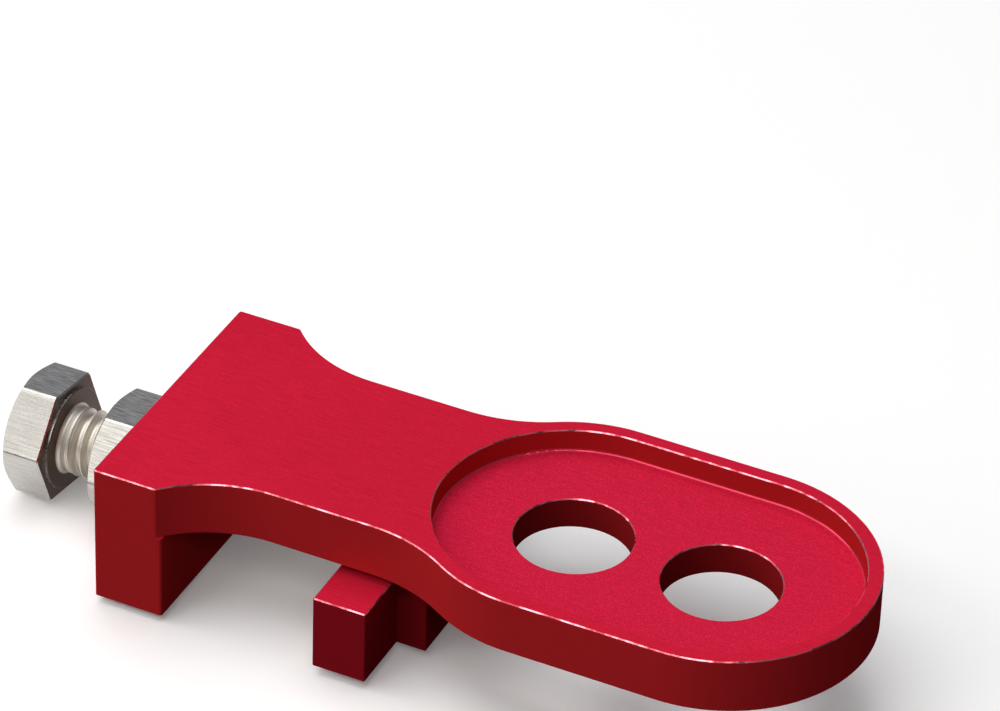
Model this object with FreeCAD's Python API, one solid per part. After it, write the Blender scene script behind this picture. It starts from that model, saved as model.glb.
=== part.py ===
import FreeCAD, Part
import math
import os
from FreeCAD import Vector

# Chain tensioner for a wheel axle in open dropouts, in millimetres.
# The plate lies in XY with its pocket facing +Z. The origin is the centre of the inner axle hole on the
# plate's underside, and +X runs along the plate from the head, where the bolt is, to the round end.

# Plate
plate_thickness = 5.0
end_width = 26.0
axle_hole_diameter = 10.0
axle_hole_spacing = 13.2
pocket_wall = 1.3
pocket_depth = 2.1
neck_width = 18.0
head_to_hole = 37.6
head_side_step = 0.1
head_length = 5.8
head_ledge = 0.5
head_height = 13.0
head_scallop_radius = 11.8
end_flare_radius = 13.5

# Dropout block: a crossbar under the neck with a nib towards the axle
block_side_step = 0.05
crossbar_width = 4.8
block_height = 7.0
nib_width = 14.2
nib_length = 2.65
block_drop = 0.8
block_reach = 14.1

# Adjuster bolt and jam nut
thread_diameter = 6.0
bolt_axis_drop = 3.3
hex_across_flats = 10.0
bolt_hex_height = 3.85
washer_face_diameter = 9.0
washer_face_height = 0.3
bolt_head_angle = 51.3
nut_height = 5.2
nut_angle = 56.0
exposed_thread = 4.0
pilot_diameter = 3.6
staked_end_diameter = 4.8
staked_end_length = 0.7

# Clearances, each on the radius or on one face
thread_clearance = 0.05
pilot_clearance = 0.05
end_play = 0.05

# How far a cutting shape runs out past the face it opens
cut_overrun = 1.0

# Edge finish
edge_break = 0.09
thread_mouth = 0.4
head_corner_radius = 0.25
pocket_floor_radius = 0.3
hex_chamfer_angle = 30.0
hex_chamfer_share = 0.95

# Sizes that follow from the ones above
end_radius = end_width / 2
head_width = end_width - 2 * head_side_step
block_length = end_width + 2 * block_side_step
pocket_radius = end_radius - pocket_wall
floor_top = plate_thickness - pocket_depth
head_outer_x = -head_to_hole
head_inner_x = head_outer_x + head_length + head_ledge
head_bottom = plate_thickness - head_height
scallop_drop = (head_width - neck_width) / 2
scallop_run = math.sqrt(head_scallop_radius**2 - (head_scallop_radius - scallop_drop)**2)
scallop_x = head_outer_x + head_length + scallop_run
scallop_y = neck_width / 2 + head_scallop_radius
flare_y = neck_width / 2 + end_flare_radius
flare_x = -math.sqrt((end_flare_radius + end_radius)**2 - flare_y**2)
block_back_x = head_inner_x + block_reach
block_top = -block_drop
nib_end_x = block_back_x + crossbar_width + nib_length
thread_radius = thread_diameter / 2
thread_hole_radius = thread_radius + thread_clearance
pilot_radius = pilot_diameter / 2
pilot_hole_radius = pilot_radius + pilot_clearance
axle_hole_round = math.pi * axle_hole_diameter
nut_outer_x = head_outer_x - nut_height
bolt_seat_x = nut_outer_x - exposed_thread
bolt_hex_x = bolt_seat_x - washer_face_height
bolt_axis_z = -bolt_axis_drop


def line(a, b):
    return Part.makeLine(Vector(*a, 0), Vector(*b, 0))


def arc_about(centre, radius, start, end):
    """Arc in XY from angle start to angle end, in radians, the short way round."""
    points = []
    for share in (0.0, 0.5, 1.0):
        angle = start + (end - start) * share
        x = centre[0] + radius * math.cos(angle)
        y = centre[1] + radius * math.sin(angle)
        points.append(Vector(x, y, 0))
    return Part.Arc(*points).toShape()


def mirrored(edge):
    return edge.mirror(Vector(0, 0, 0), Vector(0, 1, 0))


def plate_outline():
    """Closed outline of the plate: head, scallops, neck, flares and the round-ended part."""
    scallop_start = math.atan2(head_width / 2 - scallop_y, -scallop_run)
    flare_end = math.atan2(-flare_y, -flare_x)
    end_start = math.atan2(flare_y, flare_x)
    head_corner = (head_outer_x, head_width / 2)
    scallop_corner = (head_outer_x + head_length, head_width / 2)
    half = [
        line(head_corner, scallop_corner),
        arc_about((scallop_x, scallop_y), head_scallop_radius, scallop_start, -math.pi / 2),
        line((scallop_x, neck_width / 2), (flare_x, neck_width / 2)),
        arc_about((flare_x, flare_y), end_flare_radius, -math.pi / 2, flare_end),
        arc_about((0, 0), end_radius, end_start, math.pi / 2),
        line((0, end_radius), (axle_hole_spacing, end_radius)),
        arc_about((axle_hole_spacing, 0), end_radius, math.pi / 2, 0),
    ]
    back = line((head_outer_x, -head_width / 2), head_corner)
    edges = half + [mirrored(edge) for edge in half] + [back]
    return Part.Wire(Part.__sortEdges__(edges))


def stadium(radius, bottom, height):
    """Round-ended solid about both axle holes."""
    first = Part.makeCylinder(radius, height, Vector(0, 0, bottom))
    second = Part.makeCylinder(radius, height, Vector(axle_hole_spacing, 0, bottom))
    middle = Part.makeBox(axle_hole_spacing, 2 * radius, height, Vector(0, -radius, bottom))
    return first.fuse([second, middle]).removeSplitter()


def flat_face_at(shape, height):
    """Largest face of the shape that lies level at this height."""
    level = []
    for face in shape.Faces:
        box = face.BoundBox
        if box.ZLength < 1e-6 and abs(box.ZMin - height) < 1e-6:
            level.append(face)
    return max(level, key=lambda face: face.Area)


def x_cylinder(radius, start_x, end_x):
    """Cylinder on the bolt's axis between two places along X."""
    return Part.makeCylinder(radius, end_x - start_x, Vector(start_x, 0, bolt_axis_z), Vector(1, 0, 0))


def x_cone(start_radius, end_radius_x, start_x, end_x):
    """Cone on the bolt's axis between two places along X."""
    base = Vector(start_x, 0, bolt_axis_z)
    return Part.makeCone(start_radius, end_radius_x, end_x - start_x, base, Vector(1, 0, 0))


def hexagon_bar(start_x, end_x, first_angle, chamfer_far_end):
    """Hexagon bar on the bolt's axis, its corners chamfered at start_x and, if wanted, at end_x."""
    corner_radius = hex_across_flats / 2 / math.cos(math.pi / 6)
    face_radius = hex_across_flats / 2 * hex_chamfer_share
    chamfer_run = (corner_radius - face_radius) * math.tan(math.radians(hex_chamfer_angle))
    corners = []
    for index in range(7):
        angle = math.radians(first_angle + 60 * index)
        y = corner_radius * math.cos(angle)
        z = bolt_axis_z + corner_radius * math.sin(angle)
        corners.append(Vector(start_x, y, z))
    bar = Part.Face(Part.makePolygon(corners)).extrude(Vector(end_x - start_x, 0, 0))
    straight_end = end_x - chamfer_run if chamfer_far_end else end_x
    envelope = x_cone(face_radius, corner_radius, start_x, start_x + chamfer_run)
    envelope = envelope.fuse(x_cylinder(corner_radius, start_x + chamfer_run, straight_end))
    if chamfer_far_end:
        envelope = envelope.fuse(x_cone(corner_radius, face_radius, straight_end, end_x))
    return bar.common(envelope).removeSplitter()


def rounded_uprights(shape, places):
    """Shape with its upright edges at these places along X rounded."""
    uprights = []
    for edge in shape.Edges:
        box = edge.BoundBox
        upright = box.XLength < 1e-6 and box.YLength < 1e-6
        if upright and min(abs(box.XMin - x) for x in places) < 1e-6:
            uprights.append(edge)
    return shape.makeFillet(head_corner_radius, uprights)


def make_body():
    """Plate and head block, machined from one bar."""
    plate = Part.Face(plate_outline()).extrude(Vector(0, 0, plate_thickness))
    plate = rounded_uprights(plate, (head_outer_x, head_outer_x + head_length))
    block_corner = Vector(head_outer_x, -head_width / 2, head_bottom)
    head = Part.makeBox(head_inner_x - head_outer_x, head_width, -head_bottom, block_corner)
    head = rounded_uprights(head, (head_outer_x, head_inner_x))
    body = plate.fuse(head).removeSplitter()

    # The head's underside is broken before the plate's top edges are
    underside = flat_face_at(body, head_bottom)
    body = body.makeChamfer(edge_break, underside.OuterWire.Edges)

    pocket = stadium(pocket_radius, floor_top, pocket_depth + cut_overrun)
    pocket_foot = [edge for edge in pocket.Edges if abs(edge.BoundBox.ZMax - floor_top) < 1e-6]
    body = body.cut(pocket.makeFillet(pocket_floor_radius, pocket_foot))
    hole_length = plate_thickness + cut_overrun
    for x in (0, axle_hole_spacing):
        hole = Part.makeCylinder(axle_hole_diameter / 2, hole_length, Vector(x, 0, -cut_overrun))
        body = body.cut(hole)

    top_edges = flat_face_at(body, plate_thickness).Edges
    pocket_floor = flat_face_at(body, floor_top)
    hole_edges = [edge for edge in pocket_floor.Edges if abs(edge.Length - axle_hole_round) < 1e-3]
    # The underside is broken too, apart from the line where the head block stands on it
    under_edges = []
    for edge in flat_face_at(body, 0).Edges:
        if edge.BoundBox.XMax > head_inner_x + edge_break:
            under_edges.append(edge)
    body = body.makeChamfer(edge_break, top_edges + hole_edges + under_edges)

    thread_hole = x_cylinder(thread_hole_radius, head_outer_x - cut_overrun, head_inner_x + cut_overrun)
    mouth_radius = thread_hole_radius + thread_mouth
    mouth = x_cone(thread_hole_radius, mouth_radius, head_inner_x - thread_mouth, head_inner_x)
    return body.cut(thread_hole.fuse(mouth))


def make_block():
    """Dropout block: the crossbar and nib that the bolt pushes against the dropout."""
    bottom = block_top - block_height
    crossbar_corner = Vector(block_back_x, -block_length / 2, bottom)
    crossbar = Part.makeBox(crossbar_width, block_length, block_height, crossbar_corner)
    nib_corner = Vector(block_back_x, -nib_width / 2, bottom)
    nib = Part.makeBox(crossbar_width + nib_length, nib_width, block_height, nib_corner)
    block = crossbar.fuse(nib).removeSplitter()
    inner_corner_x = block_back_x + crossbar_width
    broken = flat_face_at(block, block_top).Edges + flat_face_at(block, bottom).Edges
    for edge in block.Edges:
        box = edge.BoundBox
        upright = box.ZLength > block_height * 0.9
        beside_nib = abs(abs(box.Center.y) - nib_width / 2) < 1e-6
        if upright and not (beside_nib and abs(box.XMax - inner_corner_x) < 1e-6):
            broken.append(edge)
    block = block.makeChamfer(edge_break, broken)
    bore = x_cylinder(pilot_hole_radius, block_back_x - cut_overrun, nib_end_x + cut_overrun)
    return block.cut(bore)


def make_bolt():
    """Adjuster bolt: hexagon head, washer face, threaded shank, pilot and the staked end that keeps it."""
    shoulder_x = block_back_x - end_play
    stake_x = nib_end_x + end_play
    lead = thread_radius - pilot_radius - edge_break
    head = hexagon_bar(bolt_hex_x - bolt_hex_height, bolt_hex_x, bolt_head_angle, False)
    washer_face = x_cylinder(washer_face_diameter / 2, bolt_hex_x, bolt_seat_x)
    shank = x_cylinder(thread_radius, bolt_seat_x, shoulder_x - lead)
    shoulder = x_cone(thread_radius, thread_radius - lead, shoulder_x - lead, shoulder_x)
    pilot = x_cylinder(pilot_radius, shoulder_x, stake_x)
    stake = x_cylinder(staked_end_diameter / 2, stake_x, stake_x + staked_end_length)
    return head.fuse([washer_face, shank, shoulder, pilot, stake]).removeSplitter()


def make_nut():
    """Jam nut, seated on the head's outer face."""
    nut = hexagon_bar(nut_outer_x, head_outer_x, nut_angle, True)
    hole = x_cylinder(thread_hole_radius, nut_outer_x - cut_overrun, head_outer_x + cut_overrun)
    return nut.cut(hole)


os.makedirs("parts", exist_ok=True)
make_body().exportStep("parts/tensioner_body.step")
make_block().exportStep("parts/dropout_block.step")
make_bolt().exportStep("parts/adjuster_bolt.step")
make_nut().exportStep("parts/jam_nut.step")
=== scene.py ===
import math

import bmesh
import bpy
from mathutils import Matrix, Vector


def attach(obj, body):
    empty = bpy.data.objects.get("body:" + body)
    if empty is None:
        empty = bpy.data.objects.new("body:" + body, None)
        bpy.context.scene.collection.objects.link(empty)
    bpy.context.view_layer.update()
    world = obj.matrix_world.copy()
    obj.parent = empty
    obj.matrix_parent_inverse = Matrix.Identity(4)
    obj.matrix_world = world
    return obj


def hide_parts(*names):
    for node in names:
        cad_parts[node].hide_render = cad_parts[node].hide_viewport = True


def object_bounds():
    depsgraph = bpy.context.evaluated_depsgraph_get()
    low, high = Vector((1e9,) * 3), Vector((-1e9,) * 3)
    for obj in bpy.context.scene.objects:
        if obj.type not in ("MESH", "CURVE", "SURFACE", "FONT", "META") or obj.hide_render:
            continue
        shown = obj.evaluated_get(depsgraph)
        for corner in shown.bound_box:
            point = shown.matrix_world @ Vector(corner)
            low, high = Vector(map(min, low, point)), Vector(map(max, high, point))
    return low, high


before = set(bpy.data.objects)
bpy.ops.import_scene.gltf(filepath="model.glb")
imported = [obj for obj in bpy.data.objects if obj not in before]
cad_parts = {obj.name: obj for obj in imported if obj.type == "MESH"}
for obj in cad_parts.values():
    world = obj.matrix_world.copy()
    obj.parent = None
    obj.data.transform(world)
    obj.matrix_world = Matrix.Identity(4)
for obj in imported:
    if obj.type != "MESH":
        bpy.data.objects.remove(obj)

cad_low, cad_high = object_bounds()

MM = 0.001

# Plate: the axle holes, the pocket's floor, and a distance from the line between the holes that takes in
# the pocket's wall and leaves out the plate's sides
AXLE_HOLE_RADIUS = 5.0 * MM
AXLE_HOLES_MIDDLE_X = 6.6 * MM
POCKET_FLOOR_Z = 2.9 * MM
POCKET_RIM_REACH = 12.3 * MM

# Hollow at the foot of the pocket's wall, and the painted highlight line along it: middle height, and reach
# up and down
POCKET_FOOT_Z = 3.07 * MM
POCKET_FOOT_REACH = 0.165 * MM
FOOT_HIGHLIGHT_Z = 3.0 * MM
FOOT_HIGHLIGHT_REACH = 0.045 * MM

# A point this near to a surface is on it
SKIN = 0.02 * MM

# Share of Z in the normal of a level face, and of X in that of a face square to the bolt
LEVEL_FROM = 0.3
LEVEL_FULL = 0.7
SQUARE_FROM = 0.9
SQUARE_FULL = 0.98

# Most of a noise pattern lies between these
NOISE_LOW = 0.3
NOISE_HIGH = 0.7

# Red finish: sizes of its marks, where a line has a length and a width, and the reds of the plate's milled
# sides and of the block's sawn ones, deeper partly for the block's own dye and partly as painted shade under
# the plate
BRUSH_LINE = (2.5 * MM, 0.1 * MM)
BRUSH_DEPTH = 0.004 * MM
DYE_DRIFT = 14.0 * MM
SPECK = 0.13 * MM
WORN_STRETCH = 0.9 * MM
# Painted shade: the bores and the pocket's wall are drawn darker by these shares
PAINTED_BORE_SHADE = 0.65
PAINTED_POCKET_WALL_SHADE = 0.75
WORN_ROUGHNESS = 0.08
MILLED_REDS = ("#C4272C", "#D02A2F")
SAWN_AND_SHADED_REDS = ("#981622", "#A41925")

# Plated steel: sizes of its marks, and how the thread's dull finish ends at the neck
DRAW_LINE = (3.0 * MM, 0.12 * MM)
DRAW_DEPTH = 0.006 * MM
TURNED_RING = 0.15 * MM
ROLLED_RING = 0.12 * MM
HAZE_PATCH = 1.6 * MM
OIL_STREAK = (1.2 * MM, 0.14 * MM)
DULL_ROUGHNESS = 0.5
SHANK_BLEND = 0.1 * MM

# Half of the angle that one side of a hexagon takes, and a right angle for rounded corners
HALF_SIDE = math.pi / 6
QUARTER_TURN = math.pi / 2

# Hexagons of the bolt and the nut
HEX_ACROSS_FLATS = 10.0 * MM
HEX_CORNER_RADIUS = 0.5 * MM
HEX_FACE_RADIUS = 4.75 * MM
HEX_CHAMFER = math.radians(30.0)
CORNER_STEPS = 4
FLAT_STEPS = 12

# Bolt and nut, placed as the solids are, with finer edges
AXIS_Z = -3.3 * MM
BOLT_OUTER_X = -50.95 * MM
BOLT_HEX_END_X = -47.1 * MM
BOLT_SEAT_X = -46.8 * MM
BOLT_UNDER_BEVEL = 0.12 * MM
BOLT_ANGLE = math.radians(51.3)
WASHER_FACE_RADIUS = 4.5 * MM
WASHER_RIM = 0.06 * MM
NECK_RADIUS = 2.9 * MM
NECK_FILLET = 0.35 * MM
NECK_STEPS = 6
NUT_OUTER_X = -42.8 * MM
NUT_INNER_X = -37.6 * MM
NUT_ANGLE = math.radians(56.0)
NUT_BORE_RADIUS = 3.03 * MM
NUT_MOUTH_RADIUS = 3.4 * MM

# M6 thread, 1 mm pitch, with its flats as shares of the pitch
CREST_RADIUS = 3.0 * MM
THREAD_DEPTH = 0.6134 * MM
PITCH = 1.0 * MM
CREST_FLAT = 1 / 8
ROOT_FLAT = 1 / 4
THREAD_START_X = -46.75 * MM
SHOULDER_X = -17.25 * MM
RUN_OUT_FROM = 0.75 * MM
RUN_OUT_TO = 1.3 * MM
THREAD_ANGLE = math.radians(97.0)
SHOULDER_RADIUS = 2.0 * MM
ROWS_PER_TURN = 16
STEPS_ROUND = 72

# Pilot and staked end, inside the dropout block; the pilot starts a little inside the shank
PILOT_RADIUS = 1.8 * MM
PILOT_OVERLAP = 0.1 * MM
PILOT_STEPS = 48
STAKE_X = -9.7 * MM
STAKE_RADIUS = 2.4 * MM
STAKE_END_X = -9.0 * MM
STAKE_ROUND = 0.25 * MM
STAKE_STEPS = 4

# Points this close together are one, and edges that turn more than this are sharp
SEAM_WELD = 0.002 * MM
POINT_WELD = 0.001 * MM
SHARP_TURN = math.radians(24.0)

# Studio: the floor, in metres, the tint of the smaller lamps, and the fill
FLOOR_HALF = 1.5
CARD_TOOTH = 0.8 * MM
CARD_GLOW = 0.13
WARM_WHITE = "#FFFCF8"
FILL_FROM = (-0.6, 0.8, 0.0)
FILL_LEAST = 0.06
FILL_MOST = 0.41

# Camera solved from the photograph: place in metres, right and up directions, lens and sensor in millimetres
CAMERA_PLACE = Vector((0.145364, -0.334117, 0.28028))
CAMERA_RIGHT = Vector((0.900687, 0.433533, 0.028468))
CAMERA_UP = Vector((-0.272662, 0.513023, 0.813918))
CAMERA_LENS = 201.912
CAMERA_SENSOR = 36.0


def linear(colour):
    """sRGB hex colour as linear RGBA."""
    channels = []
    for start in (1, 3, 5):
        value = int(colour[start:start + 2], 16) / 255
        channels.append(value / 12.92 if value <= 0.04045 else ((value + 0.055) / 1.055) ** 2.4)
    return (*channels, 1.0)


def add(tree, kind, inputs=None, **settings):
    """Adds a node with its settings; an input is a value, an output, or a node for its first one in use."""
    node = tree.nodes.new(kind)
    for name, value in settings.items():
        setattr(node, name, value)
    for name, value in (inputs or {}).items():
        if isinstance(value, bpy.types.Node):
            value = next(output for output in value.outputs if output.enabled)
        if isinstance(value, bpy.types.NodeSocket):
            tree.links.new(value, node.inputs[name])
        else:
            node.inputs[name].default_value = value
    return node


def new_material(name):
    """Material with an empty node tree, and that tree."""
    material = bpy.data.materials.new(name)
    material.use_nodes = True
    material.node_tree.nodes.clear()
    return material, material.node_tree


def placed(name, data):
    """New object in the scene for a mesh, a lamp or a camera."""
    item = bpy.data.objects.new(name, data)
    bpy.context.scene.collection.objects.link(item)
    return item


def along_bar(line):
    """Pattern scale for lines of a length along X and a width across it."""
    length, width = line
    return (1 / length, 1 / width, 1 / width)


def brushed_tone(tree, spot, grain, level, sunk):
    """Lightness from the brush lines, weak on the sides, and the specks, strongest on the pocket's floor."""
    lines = add(tree, "ShaderNodeMapRange", {
        "Value": grain, "From Min": NOISE_LOW, "From Max": NOISE_HIGH, "To Min": 0.89, "To Max": 1.12,
    })
    drawn = add(tree, "ShaderNodeMapRange", {"Value": level, "To Min": 0.3, "To Max": 1.0})
    brushing = add(tree, "ShaderNodeMix", {"Factor": drawn, "A": 1.0, "B": lines}, data_type="FLOAT")
    speck = add(tree, "ShaderNodeTexNoise", {"Vector": spot, "Scale": 1 / SPECK, "Detail": 2.0})
    fleck = add(tree, "ShaderNodeMapRange", {
        "Value": speck, "From Min": 0.48, "From Max": 0.7, "To Min": 0.96, "To Max": 1.34,
    })
    share = add(tree, "ShaderNodeMapRange", {"Value": sunk, "To Min": 0.4, "To Max": 1.0})
    specked = add(tree, "ShaderNodeMath", {0: level, 1: share}, operation="MULTIPLY")
    flecked = add(tree, "ShaderNodeMix", {"Factor": specked, "A": 1.0, "B": fleck}, data_type="FLOAT")
    return add(tree, "ShaderNodeMath", {0: brushing, 1: flecked}, operation="MULTIPLY")


def painted_recess_shade(tree, at, level):
    """Painted shade: lightness of the reamed bores and the pocket's wall, drawn darker as shade in these
    recesses, and 1 elsewhere.
    """
    # Both bores are found at once by folding X about the middle between them
    shifted = add(tree, "ShaderNodeMath", {0: at["X"], 1: AXLE_HOLES_MIDDLE_X}, operation="SUBTRACT")
    folded = add(tree, "ShaderNodeMath", {0: shifted}, operation="ABSOLUTE")
    from_hole = add(tree, "ShaderNodeMath", {0: folded, 1: AXLE_HOLES_MIDDLE_X}, operation="SUBTRACT")
    across = add(tree, "ShaderNodeCombineXYZ", {"X": from_hole, "Y": at["Y"]})
    reach = add(tree, "ShaderNodeVectorMath", {0: across}, operation="LENGTH")
    # Painted shade: the bores are drawn darker
    bore = add(tree, "ShaderNodeMapRange", {
        "Value": reach,
        "From Min": AXLE_HOLE_RADIUS + SKIN,
        "From Max": AXLE_HOLE_RADIUS + 2 * SKIN,
        "To Min": PAINTED_BORE_SHADE,
        "To Max": 1.0,
    })
    # Upright faces near the line between the holes are the pocket's wall and the bores again
    beyond = add(tree, "ShaderNodeMath", {0: from_hole, 1: 0.0}, operation="MAXIMUM")
    aside = add(tree, "ShaderNodeCombineXYZ", {"X": beyond, "Y": at["Y"]})
    apart = add(tree, "ShaderNodeVectorMath", {0: aside}, operation="LENGTH")
    inside = add(tree, "ShaderNodeMath", {0: apart, 1: POCKET_RIM_REACH}, operation="LESS_THAN")
    wall = add(tree, "ShaderNodeMath", {0: inside, 1: level}, operation="SUBTRACT", use_clamp=True)
    on_plate = add(tree, "ShaderNodeMath", {0: at["Z"], 1: 0.0}, operation="GREATER_THAN")
    sunk_wall = add(tree, "ShaderNodeMath", {0: wall, 1: on_plate}, operation="MULTIPLY")
    painted_wall_shade = add(tree, "ShaderNodeMapRange", {"Value": sunk_wall, "To Min": 1.0, "To Max": PAINTED_POCKET_WALL_SHADE})
    return add(tree, "ShaderNodeMath", {0: bore, 1: painted_wall_shade}, operation="MULTIPLY")


def worn_edges(tree, spot, at, normal):
    """Masks of the broken edges, worn bare in stretches, and of the painted highlight line at the pocket's
    foot.
    """
    # Broken edges lie at about 45 degrees between the level faces and the upright sides
    rise = add(tree, "ShaderNodeMapRange", {
        "Value": normal["Z"], "From Min": 0.5, "From Max": 0.64,
    }, interpolation_type="SMOOTHSTEP")
    fall = add(tree, "ShaderNodeMapRange", {
        "Value": normal["Z"], "From Min": 0.78, "From Max": 0.92,
    }, interpolation_type="SMOOTHSTEP")
    band = add(tree, "ShaderNodeMath", {0: rise, 1: fall}, operation="SUBTRACT")
    wear = add(tree, "ShaderNodeTexNoise", {"Vector": spot, "Scale": 1 / WORN_STRETCH, "Detail": 3.0})
    worn = add(tree, "ShaderNodeMapRange", {
        "Value": wear, "From Min": 0.38, "From Max": 0.6, "To Min": 0.25, "To Max": 0.95,
    })
    edge = add(tree, "ShaderNodeMath", {0: band, 1: worn}, operation="MULTIPLY")
    # The hollow at the pocket's foot slopes too: it keeps its oxide, and a painted highlight line runs along
    # it
    foot = add(tree, "ShaderNodeMath", {
        0: at["Z"], 1: POCKET_FOOT_Z, 2: POCKET_FOOT_REACH,
    }, operation="COMPARE")
    bare = add(tree, "ShaderNodeMath", {0: edge, 1: foot}, operation="SUBTRACT", use_clamp=True)
    at_highlight_height = add(tree, "ShaderNodeMath", {
        0: at["Z"], 1: FOOT_HIGHLIGHT_Z, 2: FOOT_HIGHLIGHT_REACH,
    }, operation="COMPARE")
    sloping = add(tree, "ShaderNodeMath", {0: normal["Z"], 1: 0.25}, operation="GREATER_THAN")
    painted_foot_highlight = add(tree, "ShaderNodeMath", {0: at_highlight_height, 1: sloping}, operation="MULTIPLY")
    return bare, painted_foot_highlight


def red_anodised_aluminium(name, side_reds):
    """Machined bar, fine brushed along its length and dyed red in the anodising bath.

    The eye gets a crimson satin metal with a faint grain along X and fine pale specks on its level faces,
    smooth sides between two reds of their own, painted shade in the bores and on the pocket's wall, and thin
    bright edges where the oxide is worn.
    """
    material, tree = new_material(name)
    place = add(tree, "ShaderNodeTexCoord").outputs
    spot = place["Object"]
    at = add(tree, "ShaderNodeSeparateXYZ", {0: spot}).outputs
    normal = add(tree, "ShaderNodeSeparateXYZ", {0: place["Normal"]}).outputs
    up_or_down = add(tree, "ShaderNodeMath", {0: normal["Z"]}, operation="ABSOLUTE")
    level = add(tree, "ShaderNodeMapRange", {
        "Value": up_or_down, "From Min": LEVEL_FROM, "From Max": LEVEL_FULL,
    })
    sunk = add(tree, "ShaderNodeMath", {0: at["Z"], 1: POCKET_FLOOR_Z, 2: SKIN}, operation="COMPARE")
    # Brush lines are a few hundredths of a millimetre wide on the real part, drawn wider so that they show
    along = add(tree, "ShaderNodeMapping", {"Vector": spot, "Scale": along_bar(BRUSH_LINE)})
    grain = add(tree, "ShaderNodeTexNoise", {"Vector": along, "Scale": 1.0, "Detail": 3.0})

    # The sides take the dye differently from the brushed faces, and the pocket's floor a shade brighter
    drift = add(tree, "ShaderNodeTexNoise", {"Vector": spot, "Scale": 1 / DYE_DRIFT, "Detail": 1.0})
    brushed = add(tree, "ShaderNodeMix", {
        "Factor": drift, "A": linear("#C71E37"), "B": linear("#D3213D"),
    }, data_type="RGBA")
    sides = add(tree, "ShaderNodeMix", {
        "Factor": drift, "A": linear(side_reds[0]), "B": linear(side_reds[1]),
    }, data_type="RGBA")
    faces = add(tree, "ShaderNodeMix", {
        "Factor": sunk, "A": brushed, "B": linear("#D02241"),
    }, data_type="RGBA")
    dye = add(tree, "ShaderNodeMix", {"Factor": level, "A": sides, "B": faces}, data_type="RGBA")
    tone = brushed_tone(tree, spot, grain, level, sunk)
    # Painted shade in the bores and on the pocket's wall
    recess_shade = painted_recess_shade(tree, at, level)
    shade = add(tree, "ShaderNodeMath", {0: tone, 1: recess_shade}, operation="MULTIPLY")
    lined = add(tree, "ShaderNodeVectorMath", {0: dye, "Scale": shade}, operation="SCALE")
    bare, painted_foot_highlight = worn_edges(tree, spot, at, normal)
    # Painted highlight: a paler pink line along the pocket's foot
    with_foot_highlight = add(tree, "ShaderNodeMix", {
        "Factor": painted_foot_highlight, "A": lined, "B": linear("#E8506E"),
    }, data_type="RGBA")
    colour = add(tree, "ShaderNodeMix", {
        "Factor": bare, "A": with_foot_highlight, "B": linear("#E89AA6"),
    }, data_type="RGBA")

    # Worn edges are polished metal, the painted highlight line at the foot half as much
    polish = add(tree, "ShaderNodeMath", {0: painted_foot_highlight, 1: 0.5, 2: bare}, operation="MULTIPLY_ADD")
    satin = add(tree, "ShaderNodeMapRange", {
        "Value": grain, "From Min": NOISE_LOW, "From Max": NOISE_HIGH, "To Min": 0.42, "To Max": 0.34,
    })
    rough = add(tree, "ShaderNodeMix", {
        "Factor": polish, "A": satin, "B": WORN_ROUGHNESS,
    }, data_type="FLOAT")
    sheen = add(tree, "ShaderNodeMapRange", {"Value": level, "To Min": 0.01, "To Max": 0.15})
    metal = add(tree, "ShaderNodeMix", {"Factor": polish, "A": sheen, "B": 1.0}, data_type="FLOAT")
    bump = add(tree, "ShaderNodeBump", {"Height": grain, "Strength": 0.15, "Distance": BRUSH_DEPTH})
    # The dyed oxide itself is matt, so that only the metallic share mirrors
    shader = add(tree, "ShaderNodeBsdfPrincipled", {
        "Base Color": colour,
        "Metallic": metal,
        "Roughness": rough,
        "Normal": bump,
        "Specular IOR Level": 0.0,
        "Specular Tint": linear("#E0808C"),
    })
    add(tree, "ShaderNodeOutputMaterial", {"Surface": shader})
    return material


def turned_to_head(tree, radius, normal):
    """Mask of the faces turned to the head, with the washer face's broken rim, where a dark brown is painted
    as shade.
    """
    flat = add(tree, "ShaderNodeMapRange", {
        "Value": normal["X"], "From Min": SQUARE_FROM, "From Max": SQUARE_FULL,
    })
    by_rim = add(tree, "ShaderNodeMath", {
        0: radius, 1: WASHER_FACE_RADIUS, 2: WASHER_RIM,
    }, operation="COMPARE")
    leaning = add(tree, "ShaderNodeMapRange", {"Value": normal["X"], "From Min": 0.4, "From Max": 0.6})
    rim = add(tree, "ShaderNodeMath", {0: by_rim, 1: leaning}, operation="MULTIPLY")
    return add(tree, "ShaderNodeMath", {0: flat, 1: rim}, operation="MAXIMUM")


def oil_film(tree, spot, normal):
    """Lightness of the broken film of oil and dust that lies on the flats that face up, and 1 elsewhere."""
    upward = add(tree, "ShaderNodeMapRange", {"Value": normal["Z"], "From Min": 0.85, "From Max": 0.95})
    along = add(tree, "ShaderNodeMapping", {"Vector": spot, "Scale": along_bar(OIL_STREAK)})
    film = add(tree, "ShaderNodeTexNoise", {"Vector": along, "Scale": 1.0, "Detail": 4.0})
    streak = add(tree, "ShaderNodeMapRange", {
        "Value": film, "From Min": 0.32, "From Max": 0.68, "To Min": 0.6, "To Max": 1.4,
    })
    return add(tree, "ShaderNodeMix", {"Factor": upward, "A": 1.0, "B": streak}, data_type="FLOAT")


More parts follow.
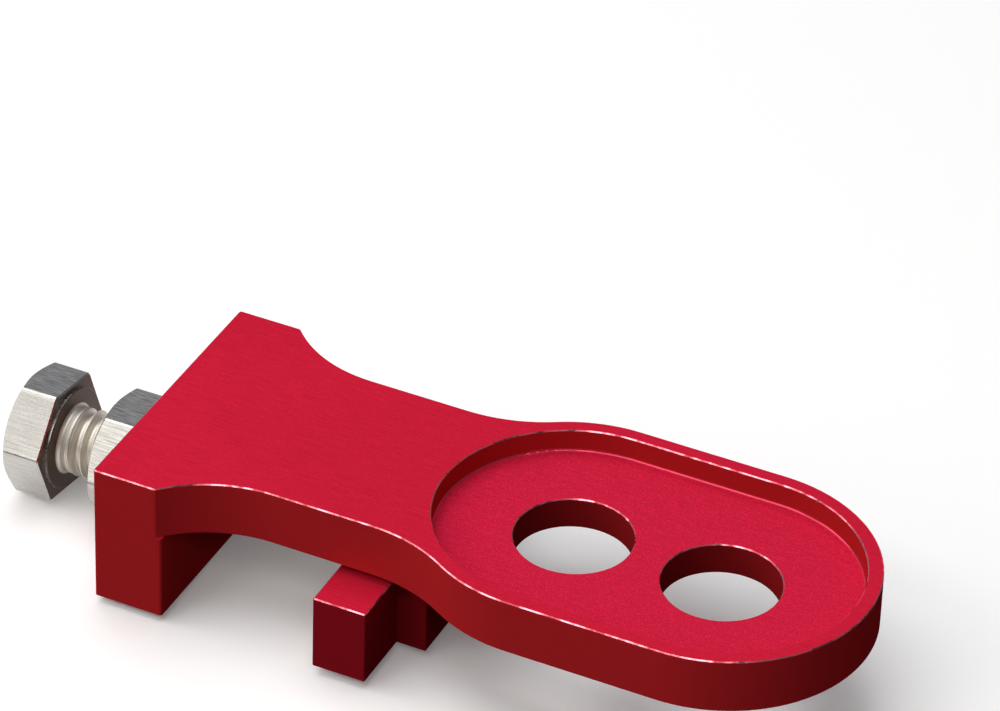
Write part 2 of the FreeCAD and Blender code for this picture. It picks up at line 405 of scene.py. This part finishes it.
def plated_steel():
    """Cold-formed steel with bright nickel plate.

    The eye gets a grey mirror broken by fine draw lines along the flats and turned rings on the faces,
    streaked where a film of oil lies on top, duller on the thread, which is painted paler and warmer as its
    sheen, and dull where the plate is thin on the faces turned to the head, which are painted dark brown as
    shade.
    """
    material, tree = new_material("nickel_plated_steel")
    place = add(tree, "ShaderNodeTexCoord").outputs
    spot = place["Object"]
    centred = add(tree, "ShaderNodeMapping", {"Vector": spot, "Location": (0, 0, -AXIS_Z)})
    at = add(tree, "ShaderNodeSeparateXYZ", {0: centred}).outputs
    across = add(tree, "ShaderNodeCombineXYZ", {"Y": at["Y"], "Z": at["Z"]})
    radius = add(tree, "ShaderNodeVectorMath", {0: across}, operation="LENGTH")
    normal = add(tree, "ShaderNodeSeparateXYZ", {0: place["Normal"]}).outputs
    facing = add(tree, "ShaderNodeMath", {0: normal["X"]}, operation="ABSOLUTE")
    on_face = add(tree, "ShaderNodeMapRange", {
        "Value": facing, "From Min": SQUARE_FROM, "From Max": SQUARE_FULL,
    })
    painted_dark_under_head = turned_to_head(tree, radius, normal)
    slender = add(tree, "ShaderNodeMapRange", {
        "Value": radius,
        "From Min": NECK_RADIUS + NECK_FILLET,
        "From Max": NECK_RADIUS + NECK_FILLET + SHANK_BLEND,
        "To Min": 1.0,
        "To Max": 0.0,
    })
    shank = add(tree, "ShaderNodeMath", {0: slender, 1: on_face}, operation="SUBTRACT", use_clamp=True)

    along = add(tree, "ShaderNodeMapping", {"Vector": spot, "Scale": along_bar(DRAW_LINE)})
    drawn = add(tree, "ShaderNodeTexNoise", {"Vector": along, "Scale": 1.0, "Detail": 3.0})
    turned = add(tree, "ShaderNodeTexNoise", {
        "W": radius, "Scale": 1 / TURNED_RING, "Detail": 2.0,
    }, noise_dimensions="1D")
    marks = add(tree, "ShaderNodeMix", {"Factor": on_face, "A": drawn, "B": turned}, data_type="FLOAT")

    haze = add(tree, "ShaderNodeTexNoise", {"Vector": spot, "Scale": 1 / HAZE_PATCH, "Detail": 3.0})
    plate = add(tree, "ShaderNodeMix", {
        "Factor": haze, "A": linear("#B4B1AC"), "B": linear("#C8C6C2"),
    }, data_type="RGBA")
    tone = add(tree, "ShaderNodeMapRange", {
        "Value": marks, "From Min": NOISE_LOW, "From Max": NOISE_HIGH, "To Min": 0.94, "To Max": 1.05,
    })
    lined = add(tree, "ShaderNodeVectorMath", {0: plate, "Scale": tone}, operation="SCALE")
    film = oil_film(tree, spot, normal)
    veiled = add(tree, "ShaderNodeVectorMath", {0: lined, "Scale": film}, operation="SCALE")
    # Painted light: the rolled thread is drawn paler and warmer for its sheen, and the faces turned to the
    # head are painted dark brown as shade
    rings = add(tree, "ShaderNodeTexNoise", {
        "W": at["X"], "Scale": 1 / ROLLED_RING, "Detail": 2.0,
    }, noise_dimensions="1D")
    thread = add(tree, "ShaderNodeMix", {
        "Factor": rings, "A": linear("#B2ABA0"), "B": linear("#F0EADF"),
    }, data_type="RGBA")
    with_painted_thread_sheen = add(tree, "ShaderNodeMix", {"Factor": shank, "A": veiled, "B": thread}, data_type="RGBA")
    # Painted shade: dark brown on the faces turned to the head
    colour = add(tree, "ShaderNodeMix", {
        "Factor": painted_dark_under_head, "A": with_painted_thread_sheen, "B": linear("#5E5047"),
    }, data_type="RGBA")

    satin = add(tree, "ShaderNodeMapRange", {
        "Value": marks, "From Min": NOISE_LOW, "From Max": NOISE_HIGH, "To Min": 0.36, "To Max": 0.2,
    })
    rolled = add(tree, "ShaderNodeMix", {
        "Factor": shank, "A": satin, "B": DULL_ROUGHNESS,
    }, data_type="FLOAT")
    rough = add(tree, "ShaderNodeMix", {
        "Factor": painted_dark_under_head, "A": rolled, "B": DULL_ROUGHNESS,
    }, data_type="FLOAT")
    bump = add(tree, "ShaderNodeBump", {"Height": marks, "Strength": 0.08, "Distance": DRAW_DEPTH})
    shader = add(tree, "ShaderNodeBsdfPrincipled", {
        "Base Color": colour,
        "Roughness": rough,
        "Normal": bump,
        "Metallic": 1.0,
    })
    add(tree, "ShaderNodeOutputMaterial", {"Surface": shader})
    return material


def thread_tree(sizes, material):
    """Node tree for a rolled thread: a sheet wound round the axis, each row of it following the helix."""
    tree = bpy.data.node_groups.new("rolled_thread", "GeometryNodeTree")
    tree.interface.new_socket("Geometry", in_out="OUTPUT", socket_type="NodeSocketGeometry")
    for name, size in sizes.items():
        kind = "NodeSocketInt" if isinstance(size, int) else "NodeSocketFloat"
        tree.interface.new_socket(name, in_out="INPUT", socket_type=kind)
    given = add(tree, "NodeGroupInput").outputs

    columns = add(tree, "ShaderNodeMath", {0: given["Steps Round"], 1: 1.0}, operation="ADD")
    rows = add(tree, "ShaderNodeMath", {0: given["Rows"], 1: 1.0}, operation="ADD")
    sheet = add(tree, "GeometryNodeMeshGrid", {
        "Size X": 1.0, "Size Y": 1.0, "Vertices X": columns, "Vertices Y": rows,
    })
    # The sheet is one turn wide and every turn high, with one to spare so that both ends come out square
    position = add(tree, "GeometryNodeInputPosition")
    on_sheet = add(tree, "ShaderNodeSeparateXYZ", {0: position}).outputs
    turn = add(tree, "ShaderNodeMath", {0: on_sheet["X"], 1: 0.5}, operation="ADD")
    share = add(tree, "ShaderNodeMath", {0: on_sheet["Y"], 1: 0.5}, operation="ADD")
    turns = add(tree, "ShaderNodeMath", {0: given["Turns"], 1: 1.0}, operation="ADD")
    wound = add(tree, "ShaderNodeMath", {0: share, 1: turns}, operation="MULTIPLY")
    ahead = add(tree, "ShaderNodeMath", {0: wound, 1: turn}, operation="SUBTRACT")
    lead = add(tree, "ShaderNodeClamp", {"Value": ahead, "Min": 0.0, "Max": given["Turns"]})
    travel = add(tree, "ShaderNodeMath", {0: lead, 1: given["Pitch"]}, operation="MULTIPLY")

    # Crest and root flats with straight flanks between them
    phase = add(tree, "ShaderNodeMath", {0: wound}, operation="FRACT")
    from_root = add(tree, "ShaderNodeMath", {0: phase, 1: 2.0, 2: -1.0}, operation="MULTIPLY_ADD")
    swing = add(tree, "ShaderNodeMath", {0: from_root}, operation="ABSOLUTE")
    cut = add(tree, "ShaderNodeMapRange", {
        "Value": swing,
        "From Min": ROOT_FLAT,
        "From Max": 1 - CREST_FLAT,
        "To Min": given["Depth"],
        "To Max": 0.0,
    })
    full = add(tree, "ShaderNodeMath", {0: given["Crest Radius"], 1: cut}, operation="SUBTRACT")
    # The thread runs out into the neck under the head, and its other end is chamfered
    run_out = add(tree, "ShaderNodeMapRange", {
        "Value": travel,
        "From Min": given["Run Out From"],
        "From Max": given["Run Out To"],
        "To Min": given["Neck Radius"],
        "To Max": full,
    })
    length = add(tree, "ShaderNodeMath", {0: given["Turns"], 1: given["Pitch"]}, operation="MULTIPLY")
    to_end = add(tree, "ShaderNodeMath", {0: length, 1: travel}, operation="SUBTRACT")
    chamfer = add(tree, "ShaderNodeMath", {0: given["End Radius"], 1: to_end}, operation="ADD")
    radius = add(tree, "ShaderNodeMath", {0: run_out, 1: chamfer}, operation="MINIMUM")

    angle = add(tree, "ShaderNodeMath", {
        0: turn, 1: -2 * math.pi, 2: given["First Angle"],
    }, operation="MULTIPLY_ADD")
    cosine = add(tree, "ShaderNodeMath", {0: angle}, operation="COSINE")
    sine = add(tree, "ShaderNodeMath", {0: angle}, operation="SINE")
    along = add(tree, "ShaderNodeMath", {0: given["Start"], 1: travel}, operation="ADD")
    aside = add(tree, "ShaderNodeMath", {0: radius, 1: cosine}, operation="MULTIPLY")
    height = add(tree, "ShaderNodeMath", {
        0: radius, 1: sine, 2: given["Axis Height"],
    }, operation="MULTIPLY_ADD")
    place = add(tree, "ShaderNodeCombineXYZ", {"X": along, "Y": aside, "Z": height})
    wrapped = add(tree, "GeometryNodeSetPosition", {"Geometry": sheet, "Position": place})
    closed = add(tree, "GeometryNodeMergeByDistance", {"Geometry": wrapped, "Distance": SEAM_WELD})
    real = add(tree, "GeometryNodeRealizeInstances", {"Geometry": closed})
    dressed = add(tree, "GeometryNodeSetMaterial", {"Geometry": real, "Material": material})
    add(tree, "NodeGroupOutput", {"Geometry": dressed})
    return tree


def thread_mesh(material):
    """The thread from the bolt's head to its shoulder as a plain mesh."""
    turns = (SHOULDER_X - THREAD_START_X) / PITCH
    sizes = {
        "Crest Radius": CREST_RADIUS,
        "Depth": THREAD_DEPTH,
        "Pitch": PITCH,
        "Start": THREAD_START_X,
        "Turns": turns,
        "Neck Radius": NECK_RADIUS,
        "Run Out From": RUN_OUT_FROM,
        "Run Out To": RUN_OUT_TO,
        "End Radius": SHOULDER_RADIUS,
        "Axis Height": AXIS_Z,
        "First Angle": THREAD_ANGLE,
        "Steps Round": STEPS_ROUND,
        "Rows": round((turns + 1) * ROWS_PER_TURN),
    }
    holder = placed("thread_holder", bpy.data.meshes.new("thread_holder"))
    modifier = holder.modifiers.new("thread", "NODES")
    modifier.node_group = thread_tree(sizes, material)
    for item in modifier.node_group.interface.items_tree:
        if item.in_out == "INPUT":
            modifier[item.identifier] = sizes[item.name]
    graph = bpy.context.evaluated_depsgraph_get()
    mesh = bpy.data.meshes.new_from_object(holder.evaluated_get(graph))
    bpy.data.objects.remove(holder)
    return mesh


def hexagon_round():
    """Points round a hexagon with rounded corners, from one corner on, as (angle, radius) pairs."""
    half = HEX_ACROSS_FLATS / 2
    inset = half - HEX_CORNER_RADIUS
    corner = inset / math.cos(HALF_SIDE)
    reach = inset * math.tan(HALF_SIDE)
    points = []
    for side in range(6):
        middle = 2 * side * HALF_SIDE
        for step in range(CORNER_STEPS + 1):
            turn = middle + HALF_SIDE * (2 * step / CORNER_STEPS - 1)
            y = corner * math.cos(middle) + HEX_CORNER_RADIUS * math.cos(turn)
            z = corner * math.sin(middle) + HEX_CORNER_RADIUS * math.sin(turn)
            points.append((y, z))
        facing = middle + HALF_SIDE
        for step in range(1, FLAT_STEPS):
            slide = reach * (1 - 2 * step / FLAT_STEPS)
            y = half * math.cos(facing) + slide * math.sin(facing)
            z = half * math.sin(facing) - slide * math.cos(facing)
            points.append((y, z))
    return [(math.atan2(z, y), math.hypot(y, z)) for y, z in points]


def bridge(mesh, lower, upper):
    """Adds a band of faces between two loops of a bmesh."""
    for index in range(len(lower)):
        after = (index + 1) % len(lower)
        mesh.faces.new((lower[index], lower[after], upper[after], upper[index]))


def lofted(mesh, rings, first_angle=0.0):
    """Adds rings about the bolt's axis to a bmesh, joined by faces; a ring is (xs, radii, angles)."""
    loops = []
    for xs, radii, angles in rings:
        loop = []
        for x, radius, angle in zip(xs, radii, angles):
            y = radius * math.cos(angle + first_angle)
            z = AXIS_Z + radius * math.sin(angle + first_angle)
            loop.append(mesh.verts.new((x, y, z)))
        loops.append(loop)
    for lower, upper in zip(loops, loops[1:]):
        bridge(mesh, lower, upper)
    return loops


def hexagon_rings(near_x, far_x, chamfer_far):
    """Rings of a hexagon bar along X: chamfered at near_x, and chamfered or just broken at far_x."""
    outline = hexagon_round()
    angles = [angle for angle, _ in outline]
    radii = [radius for _, radius in outline]
    drop = [(radius - HEX_FACE_RADIUS) * math.tan(HEX_CHAMFER) for radius in radii]
    count = len(outline)
    rings = [
        ([near_x] * count, [HEX_FACE_RADIUS] * count, angles),
        ([near_x + fall for fall in drop], radii, angles),
    ]
    if chamfer_far:
        rings.append(([far_x - fall for fall in drop], radii, angles))
        rings.append(([far_x] * count, [HEX_FACE_RADIUS] * count, angles))
    else:
        rings.append(([far_x - BOLT_UNDER_BEVEL] * count, radii, angles))
        rings.append(([far_x] * count, [radius - BOLT_UNDER_BEVEL for radius in radii], angles))
    return rings, angles


def round_rings(profile, angles):
    """Plain turned rings from (x, radius) pairs."""
    return [([x] * len(angles), [radius] * len(angles), angles) for x, radius in profile]


def finished_piece(mesh, name, material, body, node):
    """Turns a bmesh into a piece at the origin that stands for a solid and rides on its body."""
    bmesh.ops.remove_doubles(mesh, verts=mesh.verts, dist=POINT_WELD)
    bmesh.ops.holes_fill(mesh, edges=[edge for edge in mesh.edges if edge.is_boundary])
    bmesh.ops.recalc_face_normals(mesh, faces=mesh.faces)
    for face in mesh.faces:
        face.smooth = True
    data = bpy.data.meshes.new(name)
    mesh.to_mesh(data)
    mesh.free()
    data.set_sharp_from_angle(angle=SHARP_TURN)
    data.materials.append(material)
    piece = placed(name, data)
    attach(piece, body)
    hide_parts(node)


def make_bolt(material):
    """Hexagon head with its washer face, the rolled thread, and the pilot with its staked end."""
    mesh = bmesh.new()
    head, angles = hexagon_rings(BOLT_OUTER_X, BOLT_HEX_END_X, chamfer_far=False)
    seat = [
        (BOLT_HEX_END_X, WASHER_FACE_RADIUS),
        (BOLT_SEAT_X - WASHER_RIM, WASHER_FACE_RADIUS),
        (BOLT_SEAT_X, WASHER_FACE_RADIUS - WASHER_RIM),
    ]
    for step in range(NECK_STEPS + 1):
        turn = QUARTER_TURN * step / NECK_STEPS
        x = BOLT_SEAT_X + NECK_FILLET * (1 - math.cos(turn))
        seat.append((x, NECK_RADIUS + NECK_FILLET * (1 - math.sin(turn))))
    lofted(mesh, head + round_rings(seat, angles), BOLT_ANGLE)
    thread = thread_mesh(material)
    mesh.from_mesh(thread)
    bpy.data.meshes.remove(thread)
    pilot = [
        (SHOULDER_X - PILOT_OVERLAP, PILOT_RADIUS),
        (STAKE_X, PILOT_RADIUS),
        (STAKE_X, STAKE_RADIUS),
        (STAKE_END_X - STAKE_ROUND, STAKE_RADIUS),
    ]
    for step in range(1, STAKE_STEPS + 1):
        turn = QUARTER_TURN * step / STAKE_STEPS
        x = STAKE_END_X - STAKE_ROUND * (1 - math.sin(turn))
        pilot.append((x, STAKE_RADIUS - STAKE_ROUND * (1 - math.cos(turn))))
    even = [2 * math.pi * step / PILOT_STEPS for step in range(PILOT_STEPS)]
    lofted(mesh, round_rings(pilot, even))
    finished_piece(mesh, "adjuster_bolt_threaded", material, "bolt", "adjuster_bolt")


def make_nut(material):
    """Jam nut, chamfered on both faces, its bore countersunk."""
    mesh = bmesh.new()
    outside, angles = hexagon_rings(NUT_OUTER_X, NUT_INNER_X, chamfer_far=True)
    sink = NUT_MOUTH_RADIUS - NUT_BORE_RADIUS
    bore = [
        (NUT_INNER_X, NUT_MOUTH_RADIUS),
        (NUT_INNER_X - sink, NUT_BORE_RADIUS),
        (NUT_OUTER_X + sink, NUT_BORE_RADIUS),
        (NUT_OUTER_X, NUT_MOUTH_RADIUS),
    ]
    loops = lofted(mesh, outside + round_rings(bore, angles), NUT_ANGLE)
    bridge(mesh, loops[-1], loops[0])
    finished_piece(mesh, "jam_nut_chamfered", material, "nut", "jam_nut")


def matt_white_card():
    """Uncoated white card with a slight tooth.

    The eye gets an even white, straight or mirrored, while the light that it scatters back is dimmer.
    """
    material, tree = new_material("matt_white_card")
    place = add(tree, "ShaderNodeTexCoord").outputs
    tooth = add(tree, "ShaderNodeTexNoise", {
        "Vector": place["Object"], "Scale": 1 / CARD_TOOTH, "Detail": 2.0,
    })
    shade = add(tree, "ShaderNodeMix", {
        "Factor": tooth, "A": linear("#F9F8F8"), "B": linear("#FBFBFA"),
    }, data_type="RGBA")
    path = add(tree, "ShaderNodeLightPath").outputs
    mirrored = add(tree, "ShaderNodeMath", {
        0: path["Is Glossy Ray"], 1: path["Is Transmission Ray"],
    }, operation="MAXIMUM")
    seen = add(tree, "ShaderNodeMath", {0: path["Is Camera Ray"], 1: mirrored}, operation="MAXIMUM")
    tone = add(tree, "ShaderNodeMix", {
        "Factor": seen, "A": linear("#181818"), "B": shade,
    }, data_type="RGBA")
    # A little glow keeps it white where the lamps leave it dim
    glow = add(tree, "ShaderNodeMath", {0: seen, 1: CARD_GLOW}, operation="MULTIPLY")
    card = add(tree, "ShaderNodeBsdfPrincipled", {
        "Base Color": tone,
        "Roughness": 0.9,
        "Specular IOR Level": 0.1,
        "Emission Color": linear("#FFFFFF"),
        "Emission Strength": glow,
    })
    add(tree, "ShaderNodeOutputMaterial", {"Surface": card})
    return material


def make_floor():
    """Square card under the part, level with its lowest point."""
    corners = [(-1, -1), (1, -1), (1, 1), (-1, 1)]
    points = [(FLOOR_HALF * x, FLOOR_HALF * y, cad_low.z) for x, y in corners]
    data = bpy.data.meshes.new("floor")
    data.from_pydata(points, [], [(0, 1, 2, 3)])
    data.materials.append(matt_white_card())
    floor = placed("floor", data)


def softbox(name, direction, distance, width, height, radiance, colour="#FFFFFF"):
    """Lamp at a distance from the part's middle, facing it, that shows as an even panel."""
    lamp = bpy.data.lights.new(name, "AREA")
    lamp.shape = "RECTANGLE"
    lamp.size = width
    lamp.size_y = height
    lamp.energy = radiance * math.pi * width * height
    lamp.color = linear(colour)[:3]
    holder = placed(name, lamp)
    way = Vector(direction).normalized()
    middle = (cad_low + cad_high) / 2
    facing = way.to_track_quat("Z", "Y").to_matrix().to_4x4()
    holder.matrix_world = Matrix.Translation(middle + way * distance) @ facing


def make_fill():
    """Faint cool light from all round, strongest from behind on the left."""
    world = bpy.data.worlds.new("studio_fill")
    world.use_nodes = True
    tree = world.node_tree
    tree.nodes.clear()
    way = add(tree, "ShaderNodeTexCoord").outputs
    back = add(tree, "ShaderNodeVectorMath", {0: way["Generated"], 1: FILL_FROM}, operation="DOT_PRODUCT")
    level = add(tree, "ShaderNodeMapRange", {
        "Value": back, "From Min": 0.1, "From Max": 1.0, "To Min": FILL_LEAST, "To Max": FILL_MOST,
    })
    fill = add(tree, "ShaderNodeBackground", {"Color": linear("#F2F5FF"), "Strength": level})
    add(tree, "ShaderNodeOutputWorld", {"Surface": fill})
    bpy.context.scene.world = world


def make_studio():
    """Pale floor, a large panel above, a strip and a panel in front, one on the left, and a faint fill."""
    make_floor()
    softbox("panel_above", (-0.2, 0.05, 0.97), distance=1.0, width=1.0, height=1.0, radiance=2.45)
    softbox(
        "panel_strip", (-0.04, -0.63, 0.77),
        distance=0.55, width=0.78, height=0.12, radiance=3.0, colour=WARM_WHITE,
    )
    softbox(
        "panel_front", (-0.36, -0.82, 0.45),
        distance=0.55, width=0.18, height=0.2, radiance=2.3, colour=WARM_WHITE,
    )
    softbox(
        "panel_left", (-0.85, -0.31, 0.42),
        distance=0.55, width=0.3, height=0.3, radiance=2.2, colour=WARM_WHITE,
    )
    make_fill()


def make_camera():
    """Camera at the photograph's place and angle."""
    data = bpy.data.cameras.new("camera")
    data.lens = CAMERA_LENS
    data.sensor_width = CAMERA_SENSOR
    data.sensor_fit = "HORIZONTAL"
    camera = placed("camera", data)
    back = CAMERA_RIGHT.cross(CAMERA_UP)
    turn = Matrix((CAMERA_RIGHT, CAMERA_UP, back)).transposed().to_4x4()
    camera.matrix_world = Matrix.Translation(CAMERA_PLACE) @ turn
    bpy.context.scene.camera = camera


milled = red_anodised_aluminium("red_anodised_aluminium_milled", MILLED_REDS)
# The block's sides: deeper red, partly its own dye and partly painted shade where it hangs under the plate
sawn_and_shaded = red_anodised_aluminium("red_anodised_aluminium_sawn", SAWN_AND_SHADED_REDS)
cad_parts["tensioner_body"].data.materials[0] = milled
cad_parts["dropout_block"].data.materials[0] = sawn_and_shaded
steel = plated_steel()
make_bolt(steel)
make_nut(steel)
make_camera()
make_studio()
bpy.context.scene.view_settings.view_transform = "Standard"
